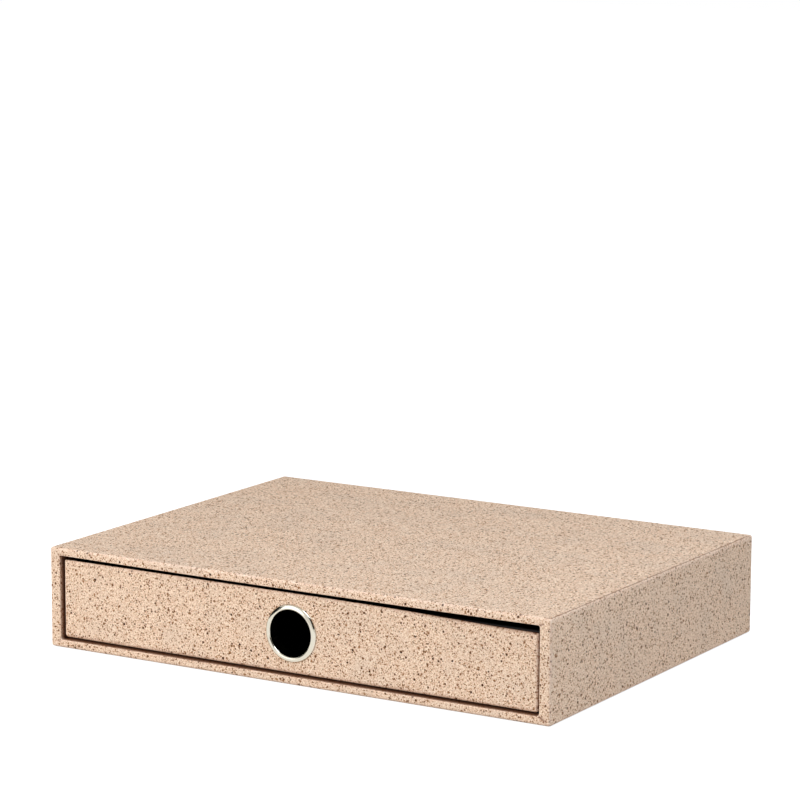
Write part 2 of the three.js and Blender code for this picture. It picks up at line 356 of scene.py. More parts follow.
print("flecks:", len(FLECKS), "sizes")

# %% [markdown]
# Pulp never settles evenly. A fine mottle of about a millimetre is the clumps of fibre that the
# eye sees between the flecks, and a slow cloud of two or three centimetres shifts the sheet
# from warm to cool. The flecks come on top. A dark fleck that simply faded into pale paper would
# have a grey edge, so each first passes through a light brown rim.

# %% Craft paper: its colour
PAPER_LIGHT = "#ffe8d0"
PAPER_DEEP = "#d3a785"
PAPER_COOL = "#d9c6b3"
FLECK_RIM = "#a87850"
RIM_SHARE = 0.4
STIR_SIZE = 1.4
STIR_REACH = 0.6
MOTTLE_SIZE = 0.85
MOTTLE_ROUGHNESS = 0.7
MOTTLE_RANGE = {"From_Min": 0.38, "From_Max": 0.6}
CLOUD_SIZE = 24
CLOUD_RANGE = {"From_Min": 0.45, "From_Max": 0.75, "To_Max": 0.35}
# A mix of colours takes its share at socket 0 and the colours at 6 and 7, and gives output 2.
COLOURS = {"data_type": "RGBA"}

paper_material, tree = start_material("flecked_craft_paper")
place = in_millimetres(tree)
stir = add_node(tree, "ShaderNodeTexNoise", Vector=place, Scale=1 / STIR_SIZE, Detail=2.0)
stir = add_node(tree, "ShaderNodeVectorMath", {"operation": "MULTIPLY_ADD"},
                i0=stir.outputs["Color"], i1=(STIR_REACH,) * 3, i2=place)
mottle = add_node(tree, "ShaderNodeTexNoise", Vector=place, Scale=1 / MOTTLE_SIZE, Detail=3.0,
                  Roughness=MOTTLE_ROUGHNESS)
mottle = add_node(tree, "ShaderNodeMapRange", Value=mottle.outputs[0], **MOTTLE_RANGE)
colour = add_node(tree, "ShaderNodeMix", COLOURS, i0=mottle.outputs[0],
                  i6=linear(PAPER_DEEP), i7=linear(PAPER_LIGHT))
cloud = add_node(tree, "ShaderNodeTexNoise", Vector=place, Scale=1 / CLOUD_SIZE, Detail=3.0)
cloud = add_node(tree, "ShaderNodeMapRange", Value=cloud.outputs[0], **CLOUD_RANGE)
colour = add_node(tree, "ShaderNodeMix", COLOURS, i0=cloud.outputs[0],
                  i6=colour.outputs[2], i7=linear(PAPER_COOL))
covers = []
for fleck in FLECKS:
    cover = fleck_cover(tree, stir.outputs[0], fleck)
    rim = add_node(tree, "ShaderNodeMapRange", Value=cover, From_Max=RIM_SHARE)
    core = add_node(tree, "ShaderNodeMapRange", Value=cover, From_Min=RIM_SHARE)
    colour = add_node(tree, "ShaderNodeMix", COLOURS, i0=rim.outputs[0],
                      i6=colour.outputs[2], i7=linear(FLECK_RIM))
    colour = add_node(tree, "ShaderNodeMix", COLOURS, i0=core.outputs[0],
                      i6=colour.outputs[2], i7=linear(fleck.colour))
    covers.append(cover)
print("paper nodes so far:", len(tree.nodes))

# %% [markdown]
# Two values painted on the mesh do the rest. Where a fold is rubbed, the paper gets lighter, in
# blotches. Where it is creased or cut, it gets darker, and the same value also carries painted
# shade: in the mouth, behind the facing's fold and along the facing's shaded edges. Uncoated
# paper has an index of refraction near 1.47, that of cellulose, and a roughness near 0.85. A
# single fibre is some 0.03 mm thick, too fine to show, so the fuzz is drawn ten times as coarse.
# The flecks of the middle size also lie a little lower than the fuzz round them.

# %% Craft paper: its wear and its surface
PAPER_RUBBED = "#f6d6c2"
PAPER_CREASE_AND_SHADE = "#6e3814"
RUB_SIZE = 2.2
RUB_RANGE = {"From_Min": 0.35, "From_Max": 0.65, "To_Max": 0.55}
FIBRE_SIZE = 0.3
FIBRE_HEIGHT = 0.05
FIBRE_BUMP = 0.5
FLECK_SINK = -0.5
PAPER_ROUGHNESS = {"To_Min": 0.78, "To_Max": 0.92}
PAPER_IOR = 1.47
PAPER_SPECULAR = 0.2

rub = add_node(tree, "ShaderNodeTexNoise", Vector=place, Scale=1 / RUB_SIZE, Detail=3.0)
rub = add_node(tree, "ShaderNodeMapRange", Value=rub.outputs[0], **RUB_RANGE)
wear = add_node(tree, "ShaderNodeAttribute", {"attribute_name": "wear"})
rub = add_node(tree, "ShaderNodeMath", {"operation": "MULTIPLY"},
               i0=rub.outputs[0], i1=wear.outputs["Fac"])
colour = add_node(tree, "ShaderNodeMix", COLOURS, i0=rub.outputs[0],
                  i6=colour.outputs[2], i7=linear(PAPER_RUBBED))
# This value darkens creases and cuts, and also lays painted shade into the paper's colour: in the
# mouth and on the facing's edges.
crease_and_shade = add_node(tree, "ShaderNodeAttribute", {"attribute_name": "crease_and_shade"})
colour = add_node(tree, "ShaderNodeMix", COLOURS, i0=crease_and_shade.outputs["Fac"],
                  i6=colour.outputs[2], i7=linear(PAPER_CREASE_AND_SHADE))
fibre = add_node(tree, "ShaderNodeTexNoise", Vector=place, Scale=1 / FIBRE_SIZE, Detail=4.0)
height = add_node(tree, "ShaderNodeMath", {"operation": "MULTIPLY_ADD"},
                  i0=covers[1], i1=FLECK_SINK, i2=fibre.outputs[0])
bump = add_node(tree, "ShaderNodeBump", Height=height.outputs[0], Strength=FIBRE_BUMP,
                Distance=FIBRE_HEIGHT * MM)
rough = add_node(tree, "ShaderNodeMapRange", Value=fibre.outputs[0], **PAPER_ROUGHNESS)
finish_material(tree, Base_Color=colour.outputs[2], Roughness=rough.outputs[0], IOR=PAPER_IOR,
                Specular_IOR_Level=PAPER_SPECULAR, Normal=bump.outputs[0])
print("paper nodes:", len(tree.nodes))

# %% [markdown]
# ## Boards
#
# The walls are greyboard, pressed from waste paper: grey-brown and dull, with stray fibres.
# Where the inside of the case and the drawer show, the board is dyed black in the pulp. Both
# are the same make of board, so one loop draws both, with their own colours and roughness.

# %% Greyboard and black board
BOARDS = {
    "pressed_greyboard": {"light": "#b0a99b", "dark": "#8a8375", "roughness": 0.92},
    "dyed_black_board": {"light": "#2a2827", "dark": "#171615", "roughness": 0.82},
}
BOARD_FIBRE = 0.9
BOARD_FIBRE_HEIGHT = 0.08
BOARD_FIBRE_ROUGHNESS = 0.65
BOARD_BUMP = 0.4

board_materials = {}
for name, board in BOARDS.items():
    board_materials[name], tree = start_material(name)
    fibre = add_node(tree, "ShaderNodeTexNoise", Vector=in_millimetres(tree),
                     Scale=1 / BOARD_FIBRE, Detail=5.0, Roughness=BOARD_FIBRE_ROUGHNESS)
    colour = add_node(tree, "ShaderNodeMix", COLOURS, i0=fibre.outputs[0],
                      i6=linear(board["dark"]), i7=linear(board["light"]))
    bump = add_node(tree, "ShaderNodeBump", Height=fibre.outputs[0], Strength=BOARD_BUMP,
                    Distance=BOARD_FIBRE_HEIGHT * MM)
    finish_material(tree, Base_Color=colour.outputs[2], Roughness=board["roughness"],
                    IOR=PAPER_IOR, Normal=bump.outputs[0])
print("boards:", sorted(board_materials))

# %% [markdown]
# ## Black paper
#
# The drawer's tray is wrapped and lined in a thin black paper. It was run between hot rollers,
# which closed its face, so its folds catch a grey sheen while its flats stay dark. A faint fine
# grain breaks that sheen. The roughness of a calendered paper lies near 0.45.

# %% Black paper
BLACK_LIGHT = "#1d1b1b"
BLACK_DEEP = "#0e0d0d"
BLACK_GRAIN = 0.5
BLACK_GRAIN_HEIGHT = 0.04
BLACK_BUMP = 0.35
BLACK_ROUGHNESS = {"To_Min": 0.36, "To_Max": 0.52}
BLACK_IOR = 1.5
BLACK_SPECULAR = 0.12

black_paper_material, tree = start_material("calendered_black_paper")
grain = add_node(tree, "ShaderNodeTexNoise", Vector=in_millimetres(tree),
                 Scale=1 / BLACK_GRAIN, Detail=3.0)
colour = add_node(tree, "ShaderNodeMix", COLOURS, i0=grain.outputs[0],
                  i6=linear(BLACK_DEEP), i7=linear(BLACK_LIGHT))
bump = add_node(tree, "ShaderNodeBump", Height=grain.outputs[0], Strength=BLACK_BUMP,
                Distance=BLACK_GRAIN_HEIGHT * MM)
rough = add_node(tree, "ShaderNodeMapRange", Value=grain.outputs[0], **BLACK_ROUGHNESS)
finish_material(tree, Base_Color=colour.outputs[2], Roughness=rough.outputs[0], IOR=BLACK_IOR,
                Specular_IOR_Level=BLACK_SPECULAR, Normal=bump.outputs[0])
print("black paper nodes:", len(tree.nodes))

# %% [markdown]
# ## Nickel plate
#
# The eyelet and its washer are stamped from steel sheet and bright nickel plated. Nickel is a
# pale metal with a little yellow in it. The plate is smooth, so its roughness is near 0.12, and
# it only waves slightly where the tool drew the sheet.

# %% Nickel plate
NICKEL_COLOUR = "#d0c9b9"
DRAW_WAVE = 2.5
DRAW_WAVE_HEIGHT = 0.02
DRAW_WAVE_BUMP = 0.3
NICKEL_ROUGHNESS = {"To_Min": 0.08, "To_Max": 0.18}

nickel_material, tree = start_material("bright_nickel_plate")
wave = add_node(tree, "ShaderNodeTexNoise", Vector=in_millimetres(tree),
                Scale=1 / DRAW_WAVE, Detail=2.0)
bump = add_node(tree, "ShaderNodeBump", Height=wave.outputs[0], Strength=DRAW_WAVE_BUMP,
                Distance=DRAW_WAVE_HEIGHT * MM)
rough = add_node(tree, "ShaderNodeMapRange", Value=wave.outputs[0], **NICKEL_ROUGHNESS)
finish_material(tree, Base_Color=linear(NICKEL_COLOUR), Metallic=1.0,
                Roughness=rough.outputs[0], Normal=bump.outputs[0])
print("nickel nodes:", len(tree.nodes))

# %% [markdown]
# ## A folded sheet is a loft of rings
#
# A covered box is a sheet that runs round four corners and is turned in over every edge. A cube
# with a bevel would give round edges, but no turned-in sheet, no cut corners and no edge that
# sags. So a sheet is made here as a loft. A ring is a rectangle with round corners, seen along
# the direction in which the sheet is wrapped. Its points are set out at fixed stations, some
# on the corners and some along the sides, so that ring after ring can be joined with quads.

# %% Rings
CORNER_STEPS = 6


def cut_into(parts):
    """The shares of a side at which it is cut into equal parts."""
    return np.linspace(0, 1, parts + 1)[1:-1]


def lay_stations(tall_shares, wide_shares):
    """Corner number, share of the side after it and direction of each point of a ring.
    Corners run anticlockwise from the foot right one. Sides 0 and 2 are the upright ones."""
    laid = []
    for number in range(4):
        for step in range(CORNER_STEPS + 1):
            laid.append((number, 0, math.pi / 2 * (number - 1 + step / CORNER_STEPS)))
        for share in (tall_shares, wide_shares)[number % 2]:
            laid.append((number, share, math.pi / 2 * number))
    number, share, turn = (np.array(column) for column in zip(*laid))
    return number.astype(int), share, turn


def ring(stations, left, right, foot, head, radius):
    """The points of a ring. The radius is one for all corners, or four in their order."""
    number, share, turn = stations
    share = share[:, None]
    after = (number + 1) % 4
    radius = np.broadcast_to(radius, 4)[:, None]
    corners = np.array([(right, foot), (right, head), (left, head), (left, foot)])
    centres = corners + radius * np.array([(-1, 1), (-1, -1), (1, -1), (1, 1)])
    outward = np.stack([np.cos(turn), np.sin(turn)], axis=1)
    reach = radius[number] + share * (radius[after] - radius[number])
    return centres[number] + share * (centres[after] - centres[number]) + reach * outward


print("stations on a corner:", CORNER_STEPS + 1)

# %% [markdown]
# The sheet's section, from one cut edge to the other, is walked like a path on squared paper.
# One coordinate is how far the ring lies in from the outside of the box, and the other is how
# deep it lies along the wrapping direction. A straight stretch goes on in the same heading, and
# a fold turns a quarter to the left with a radius. The left hand always points into the board.

# %% Sections
FOLD_STEPS = 6
Place = namedtuple("Place", "side end depth heading zone")


def go(path, zone, side, end=None, steps=1):
    """Walks straight on. Upright sides and the other two may have different lengths to go."""
    start = path[-1]
    end = side if end is None else end
    ahead = math.cos(start.heading), math.sin(start.heading)
    for step in range(1, steps + 1):
        share = step / steps
        path.append(Place(start.side + share * side * ahead[0],
                          start.end + share * end * ahead[0],
                          start.depth + share * side * ahead[1], start.heading, zone))


def fold(path, radius, zone="fold", ease=None):
    """Turns a quarter to the left, along an arc or along an ellipse that starts with more ease."""
    start = path[-1]
    ease = ease or radius
    ahead, aside = math.cos(start.heading), math.sin(start.heading)
    for step in range(1, FOLD_STEPS + 1):
        turned = math.pi / 2 * step / FOLD_STEPS
        forward, left = ease * math.sin(turned), radius * (1 - math.cos(turned))
        across = forward * ahead - left * aside
        along = forward * aside + left * ahead
        heading = start.heading + math.atan2(radius * math.sin(turned), ease * math.cos(turned))
        path.append(Place(start.side + across, start.end + across, start.depth + along,
                          heading, zone))


def inner_face(path, thickness):
    """The same walk on the sheet's inner face, from its last place back to its first."""
    inner = []
    for place in reversed(path):
        across = -thickness * math.sin(place.heading)
        inner.append(Place(place.side + across, place.end + across,
                           place.depth + thickness * math.cos(place.heading),
                           place.heading, "inner"))
    return inner


print("steps in a fold:", FOLD_STEPS)

# %% [markdown]
# The rings are stacked into one array of points, and neighbours are joined with quads. The last
# ring joins the first, so a sheet is a closed body with its real thickness. Two values are kept
# with each point: how far a fold is rubbed there, and how dark a crease, a cut or a
# painted shade is.

# %% Lofts


def loft(name, rings, painted=()):
    """A closed body from an array of rings x points x coordinates."""
    rows, columns = rings.shape[:2]
    here = np.arange(rows * columns).reshape(rows, columns)
    beside = np.roll(here, -1, axis=1)
    faces = np.stack([here, beside, np.roll(beside, -1, axis=0), np.roll(here, -1, axis=0)], -1)
    mesh = bpy.data.meshes.new(name)
    mesh.from_pydata(rings.reshape(-1, 3).tolist(), [], faces.reshape(-1, 4).tolist())
    for value, values in dict(painted).items():
        layer = mesh.attributes.new(value, "FLOAT", "POINT")
        layer.data.foreach_set("value", values.astype(np.float32).ravel())
    build = bmesh.new()
    build.from_mesh(mesh)
    bmesh.ops.recalc_face_normals(build, faces=build.faces)
    build.to_mesh(mesh)
    build.free()
    return mesh


def add_piece(mesh, material, body, slot, *nodes):
    """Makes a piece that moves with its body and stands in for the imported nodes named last."""
    for polygon in mesh.polygons:
        polygon.use_smooth = True
    mesh.materials.append(material)
    made = bpy.data.objects.new(mesh.name, mesh)
    bpy.context.scene.collection.objects.link(made)
    made.modifiers.new("even_shading", "WEIGHTED_NORMAL")
    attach(made, body)
    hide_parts(*nodes)
    print(made.name, "faces:", len(mesh.polygons))
    return made


def rubbed_folds(path, stations):
    """One in the middle of each fold and corner of the outer face, nought on its flats."""
    outer = np.array([place.zone != "inner" for place in path])
    along = np.abs(np.sin(2 * np.array([place.heading for place in path])))
    across = np.abs(np.sin(2 * stations[2]))
    return outer[:, None] * np.maximum(along[:, None], across[None, :])


print("loft ready")

# %% [markdown]
# ## The case's cover paper
#
# One sheet covers the top, the sides and the underside. It is turned over 15 mm behind, and in
# front it goes over the lips and 18 mm into the mouth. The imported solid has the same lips, so
# their widths are read from it and not written down a second time.

# %% The case's cover paper: its section
SHEET = 0.3 * MM
EDGE_FOLD = 1.5 * MM
MOUTH_FOLD = 0.45 * MM
BACK_FLAP = 15 * MM
MOUTH_TURN_IN = 18 * MM
SHADED_DEPTH = 2.4 * MM
WALL_STEPS = 24
LIP_STEPS = 10
TURN_IN_STEPS = 3

low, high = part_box("case_cover_paper")
lip_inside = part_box("case_right_liner")[0].x
lip_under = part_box("case_top_liner")[0].z
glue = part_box("case_left_liner")[0].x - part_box("case_left_spacer")[1].x
side_lip = high.x - lip_inside + SHEET + glue
end_lip = high.z - lip_under + SHEET + glue

case_walk = [Place(BACK_FLAP, BACK_FLAP, high.y, math.pi, "flap")]
go(case_walk, "flap", BACK_FLAP - EDGE_FOLD)
fold(case_walk, EDGE_FOLD)
go(case_walk, "wall", high.y - low.y - 2 * EDGE_FOLD, steps=WALL_STEPS)
fold(case_walk, EDGE_FOLD)
go(case_walk, "lip", side_lip - EDGE_FOLD - MOUTH_FOLD, end_lip - EDGE_FOLD - MOUTH_FOLD,
   LIP_STEPS)
fold(case_walk, MOUTH_FOLD, "mouth")
go(case_walk, "turn_in", SHADED_DEPTH, steps=TURN_IN_STEPS)
go(case_walk, "inside", MOUTH_TURN_IN - MOUTH_FOLD - SHADED_DEPTH, steps=TURN_IN_STEPS)
case_rows = case_walk + inner_face(case_walk, SHEET)
print("lips in mm:", round(side_lip / MM, 2), round(end_lip / MM, 2), "rows:", len(case_rows))

# %% [markdown]
# Each place of the walk becomes a ring. On the outside the ring's corners are as round as the
# folds, and towards the mouth they go over into the mouth's own corners, which differ from one
# another. Just below the rounded edge one more station is set, so that what is painted on the
# edge ends there and doesn't fade down the side.

# %% The case's cover paper: its points
LEAST_CORNER = 0.45 * MM
MOUTH_CORNERS = np.array([2.2, 1.2, 0.6, 1.3]) * MM
UPRIGHT_PARTS = 8
WIDE_PARTS = 24
PAINT_ENDS_BELOW = 0.7 * MM

height = high.z - low.z - 2 * EDGE_FOLD
upright = [*cut_into(UPRIGHT_PARTS), 1 - PAINT_ENDS_BELOW / height]
stations = lay_stations(upright, cut_into(WIDE_PARTS))
number, share, turn = stations


def across_lip(place):
    """0 from the back to the front edge, then up to 1 at the mouth and inside it."""
    if place.zone not in ("lip", "mouth", "turn_in", "inside"):
        return 0
    return min((place.side - EDGE_FOLD) / (side_lip - EDGE_FOLD - MOUTH_FOLD), 1)


lip_shares = np.array([across_lip(place) for place in case_walk])
lip_shares = np.concatenate([lip_shares, lip_shares[::-1]])
rings = np.empty((len(case_rows), len(number), 3))
for row, place in enumerate(case_rows):
    radius = max(EDGE_FOLD - place.side, LEAST_CORNER)
    radius = radius + lip_shares[row] * (MOUTH_CORNERS - radius)
    rings[row][:, (0, 2)] = ring(stations, low.x + place.side, high.x - place.side,
                                 low.z + place.end, high.z - place.end, radius)
    rings[row][:, 1] = place.depth
print("points:", rings.shape[0] * rings.shape[1])

# %% [markdown]
# The top lip hangs down a little in its middle. The gap round the drawer is too narrow for much
# light to get in, so the paper that is turned into the mouth is painted darker with its depth.

# %% The case's cover paper: hang and shade
LIP_HANG = 0.45 * MM
MOUTH_SHADE = 0.4
DEEP_SHADE = 0.9

wear = rubbed_folds(case_rows, stations)
crease_and_shade = np.zeros_like(wear)
zones = np.array([place.zone for place in case_rows])
on_top = (number == 1) & (share > 0)
bow = np.clip(1 - (rings[:, :, 0] / (high.x - side_lip)) ** 2, 0, 1)
rings[:, :, 2] -= LIP_HANG * lip_shares[:, None] * on_top * bow
crease_and_shade[zones == "mouth"] = MOUTH_SHADE * np.linspace(-1, 1, FOLD_STEPS).clip(0)[:, None]
crease_and_shade[zones == "turn_in"] = np.linspace(MOUTH_SHADE, DEEP_SHADE, TURN_IN_STEPS + 1)[1:, None]
crease_and_shade[zones == "inside"] = DEEP_SHADE
print("lip hangs:", round(LIP_HANG / MM, 2), "mm")

# %% [markdown]
# The sheet begins and ends at the right top edge. Its two cut edges meet at the top of the
# rounding in a fine dark line, and the bend below them is rubbed pale. An image could hold such
# a line, but it would have to be laid out flat and fitted. Here the line is one row of the
# sheet's points, pushed in a little and painted dark.

# %% The case's cover paper: its seam
SEAM_DEPTH = 0.15 * MM
SEAM_ABOVE_MIDDLE = 2
SEAM_DARKNESS = 0.9
DARKNESS_BESIDE_SEAM = 0.3
SEAM_WAVER = 0.1
SEAM_WAVER_TURN = 2.4
RUB_BELOW_SEAM = 0.8

middles = [np.flatnonzero((number == corner) & (share == 0))[CORNER_STEPS // 2]
           for corner in range(4)]
seam = middles[1] + SEAM_ABOVE_MIDDLE
wall_rows = np.flatnonzero(zones == "wall")
waver = SEAM_WAVER * np.sin(SEAM_WAVER_TURN * wall_rows)
rings[wall_rows, seam, 2] -= SEAM_DEPTH
crease_and_shade[wall_rows, seam] = SEAM_DARKNESS + waver
crease_and_shade[wall_rows, seam - 1] = DARKNESS_BESIDE_SEAM + waver
wear[wall_rows, seam - CORNER_STEPS + 1:seam - 1] = RUB_BELOW_SEAM
print("seam points:", len(wall_rows))

# %% [markdown]
# At each corner of the mouth the sheet is slit before it is turned in, which leaves a short
# mitred line. The four slits differ, as hand work does, so each has its own reach across the
# lip and its own darkness. They are listed anticlockwise from the foot right one, as the corners
# are.

# %% The case's cover paper: its slits
SLIT_DEPTH = 0.15 * MM
SLIT_WIDTH = 0.75 * MM
SLIT_CORE = 1.2
SLIT_FADE = 0.5
SLITS = [{"reach": 0.95, "darkness": 1}, {"reach": 0.5, "darkness": 0.9},
         {"reach": 0.35, "darkness": 0.4}, {"reach": 0.5, "darkness": 0.6}]

for middle, slit in zip(middles, SLITS):
    for row in np.flatnonzero(zones == "lip"):
        away = np.linalg.norm(rings[row] - rings[row, middle], axis=1)
        there = np.clip((lip_shares[row] - 1) / slit["reach"] + 1, 0, 1) ** SLIT_FADE
        groove = there * np.clip(SLIT_CORE - away / SLIT_WIDTH, 0, 1)
        rings[row, :, 1] += SLIT_DEPTH * groove
        crease_and_shade[row] = np.maximum(crease_and_shade[row], slit["darkness"] * groove)
mesh = loft("case_cover", rings, {"wear": wear, "crease_and_shade": crease_and_shade})
add_piece(mesh, paper_material, "case", "speckled_paper", "case_cover_paper")

# %% [markdown]
# ## The facing: its outline
#
# The facing is the board that shows in front, with a round hole for the eyelet. Its top edge
# has sagged towards the right, and handling has rounded its edges and corners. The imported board
# has sharp edges, which would come through a paper with so round a fold, so board and paper are
# made together here, from the same outline. A boolean could punch the hole, but it would leave
# slivers in a flat that should shade evenly. So the flat is lofted from the hole out: each of
# its rings is a blend of the circle and the outline. Along its top and bottom the stations fan
# out from the hole, which keeps the quads in line with it.

# %% The facing: its outline
FACING_FOLD = 1.18 * MM
FACING_EASE = 2.4 * MM
FACING_CORNERS = np.array([1.9, 0.9, 0.9, 1.9]) * MM
FACING_SAG = 2.3 * MM
SAG_ACROSS = [0, 0.2, 0.34, 0.5, 0.66, 0.75, 0.815, 0.92, 1]
SAG_SHARES = [0, 0, 0.03, 0.06, 0.14, 0.33, 0.58, 0.89, 1]
FACE_BLENDS = np.array([0, 0.08, 0.25, 0.6])
HOLE_RADIUS = 14.4 * MM
FAN_DEG = np.linspace(-80, 80, 33)
FAN_MARGIN = 0.01
FACING_UPRIGHT_PARTS = 6
FACING_WIDE_PARTS = 12
SHARE_DIGITS = 4

low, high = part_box("facing_cover_paper")
eyelet_low, eyelet_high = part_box("eyelet")
hole_middle = np.array([(eyelet_low.x + eyelet_high.x) / 2, (eyelet_low.z + eyelet_high.z) / 2])
fan = np.tan(np.radians(FAN_DEG)) * (high.z - low.z) / 2 / (high.x - low.x) + 0.5
fan = fan[(fan > FAN_MARGIN) & (fan < 1 - FAN_MARGIN)]
wide_shares = np.unique(np.concatenate([fan, cut_into(FACING_WIDE_PARTS)]).round(SHARE_DIGITS))
stations = lay_stations(cut_into(FACING_UPRIGHT_PARTS), wide_shares)


def sagged(points):
    """Lowers the outline's points by their share of the height and of the sag above them."""
    across = (points[:, 0] - low.x) / (high.x - low.x)
    up = (points[:, 1] - low.z) / (high.z - low.z)
    drop = FACING_SAG * np.interp(across, SAG_ACROSS, SAG_SHARES) * up
    return points - np.stack([np.zeros_like(drop), drop], axis=1)


def clear_of_hole(points):
    """Moves what lies in the hole up or down to its edge."""
    away = points - hole_middle
    half = np.sqrt(np.clip(HOLE_RADIUS ** 2 - away[:, 0] ** 2, 0, None))
    tall = np.where(np.abs(away[:, 1]) < half, np.copysign(half, away[:, 1]), away[:, 1])
    return np.stack([points[:, 0], hole_middle[1] + tall], axis=1)


def facing_ring(place):
    """A ring of the facing: sagged, clear of the hole and upright."""
    corners = np.maximum(FACING_CORNERS - place.side, LEAST_CORNER)
    flat = ring(stations, low.x + place.side, high.x - place.side,
                low.z + place.end, high.z - place.end, corners)
    flat = clear_of_hole(sagged(flat))
    return np.stack([flat[:, 0], np.full(len(flat), -place.depth), flat[:, 1]], axis=1)


def fill_to_hole(outline):
    """Rings from the hole's edge to the outline, which isn't one of them."""
    flat = outline[:, (0, 2)]
    away = flat - hole_middle
    circle = hole_middle + HOLE_RADIUS * away / np.linalg.norm(away, axis=1)[:, None]
    filled = np.repeat(outline[None], len(FACE_BLENDS), axis=0)
    filled[:, :, (0, 2)] = circle + FACE_BLENDS[:, None, None] * (flat - circle)
    return filled


print("facing in mm:", [round(length / MM, 2) for length in high - low])

# %% [markdown]
# The board is a solid: its walk goes over its edge only, and its front and back are filled in
# to the hole.

# %% The facing: its board
PAPER_AND_GLUE = 0.35 * MM

board_low, board_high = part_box("facing_board")
board_fold = FACING_FOLD - PAPER_AND_GLUE
board_walk = [Place(FACING_EASE, FACING_EASE, -board_low.y, math.pi, "face")]
fold(board_walk, board_fold, ease=FACING_EASE - PAPER_AND_GLUE)
go(board_walk, "edge", board_high.y - board_low.y - 2 * board_fold)
fold(board_walk, board_fold)
rings = np.array([facing_ring(place) for place in board_walk])
mesh = loft("facing_board_rounded",
            np.concatenate([fill_to_hole(rings[0]), rings, fill_to_hole(rings[-1])[::-1]]))
add_piece(mesh, board_materials["pressed_greyboard"], "drawer", "greyboard", "facing_board")

# %% [markdown]
# The paper goes over all four edges and is turned over 12 mm behind. Its walk returns on the
# inner face, so only its front is filled in, outside and inside. Its bottom and right edges, and
# the top edge where it sags, are painted darker through their first fold, as painted shade under
# the lips. What lies behind the front fold is in the gap's shade, so it is painted dark all round.

# %% The facing: its paper
FACING_FLAP = 12 * MM
EDGE_SHADE = 0.8
EDGE_SHADE_FADE = 1.5

facing_walk = [Place(FACING_EASE, FACING_EASE, -low.y, math.pi, "face")]
fold(facing_walk, FACING_FOLD, ease=FACING_EASE)
go(facing_walk, "edge", high.y - low.y - 2 * FACING_FOLD)
fold(facing_walk, FACING_FOLD)
go(facing_walk, "flap", FACING_FLAP - FACING_FOLD)
facing_rows = facing_walk + inner_face(facing_walk, SHEET)
rings = np.array([facing_ring(place) for place in facing_rows])
front = fill_to_hole(rings[0])

wear = rubbed_folds(facing_rows, stations)
crease_and_shade = np.zeros_like(wear)
turn = stations[2]
# Painted shade on the bottom and right edges, and on the top edge where it sags.
low_or_right = np.maximum(np.cos(turn), -np.sin(turn)).clip(0)
where_sagged = np.interp((rings[0][:, 0] - low.x) / (high.x - low.x), SAG_ACROSS, SAG_SHARES)
shaded_edges = np.maximum(low_or_right, np.sin(turn).clip(0) * where_sagged)
first_fold = np.linspace(0, EDGE_SHADE, FOLD_STEPS + 1)[1:] ** EDGE_SHADE_FADE
crease_and_shade[1:FOLD_STEPS + 1] = first_fold[:, None] * shaded_edges
crease_and_shade[FOLD_STEPS + 1:len(facing_walk)] = 1
wear = wear * (1 - crease_and_shade)
flat = np.zeros(front.shape[:2])
mesh = loft("facing_cover", np.concatenate([front, rings, front[::-1] + (0, SHEET, 0)]),
            {"wear": np.concatenate([flat, wear, flat]),
             "crease_and_shade": np.concatenate([flat, crease_and_shade, flat])})
add_piece(mesh, paper_material, "drawer", "speckled_paper", "facing_cover_paper")

# %% [markdown]
# ## The tray's black wrap
#
# The tray's wrap is walked upwards: from under the base, round the foot, up the wall, over its
# top edge in two tight folds, and 12 mm down inside. This sheet is wrapped round an upright
# axis, so here a ring lies flat, and its depth is its height turned round.

# %% The tray's wrap
WRAP_FOOT_FOLD = 0.5 * MM
WRAP_TOP_FOLD = 0.9 * MM
WRAP_TURN_OVER = 12 * MM
WRAP_CORNER = 0.8 * MM
TRAY_WALL = 2.8 * MM
TRAY_WALL_STEPS = 4
TRAY_PARTS = 8

low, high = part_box("tray_wall_paper")
tray_walk = [Place(WRAP_TURN_OVER, WRAP_TURN_OVER, -low.z, math.pi, "flap")]
go(tray_walk, "flap", WRAP_TURN_OVER - WRAP_FOOT_FOLD)
fold(tray_walk, WRAP_FOOT_FOLD)
go(tray_walk, "wall", high.z - low.z - WRAP_FOOT_FOLD - WRAP_TOP_FOLD, steps=TRAY_WALL_STEPS)
fold(tray_walk, WRAP_TOP_FOLD)
go(tray_walk, "edge", TRAY_WALL - 2 * WRAP_TOP_FOLD)
fold(tray_walk, WRAP_TOP_FOLD)
go(tray_walk, "turn_in", WRAP_TURN_OVER - WRAP_TOP_FOLD)
tray_rows = tray_walk + inner_face(tray_walk, SHEET)

stations = lay_stations(cut_into(TRAY_PARTS), cut_into(TRAY_PARTS))
rings = np.empty((len(tray_rows), len(stations[0]), 3))
for row, place in enumerate(tray_rows):
    rings[row][:, :2] = ring(stations, low.x + place.side, high.x - place.side,
                             low.y + place.end, high.y - place.end,
                             max(WRAP_CORNER - place.side, LEAST_CORNER))
    rings[row][:, 2] = -place.depth
wrap = loft("tray_wrap", rings)
print("wrap rows:", len(tray_rows))

# %% [markdown]
# The finger hole goes through two layers of the wrap that are nowhere parallel to the rings. So
# here a boolean is the simple way, because black paper inside a drawer has no even shading to
# lose. The cutter is a cylinder with its middle at the wrap's front, so half of it reaches
# through. It is applied straight away, so that the piece is a plain mesh.

# %% The tray's wrap: finger hole
CUTTER_SIDES = 96

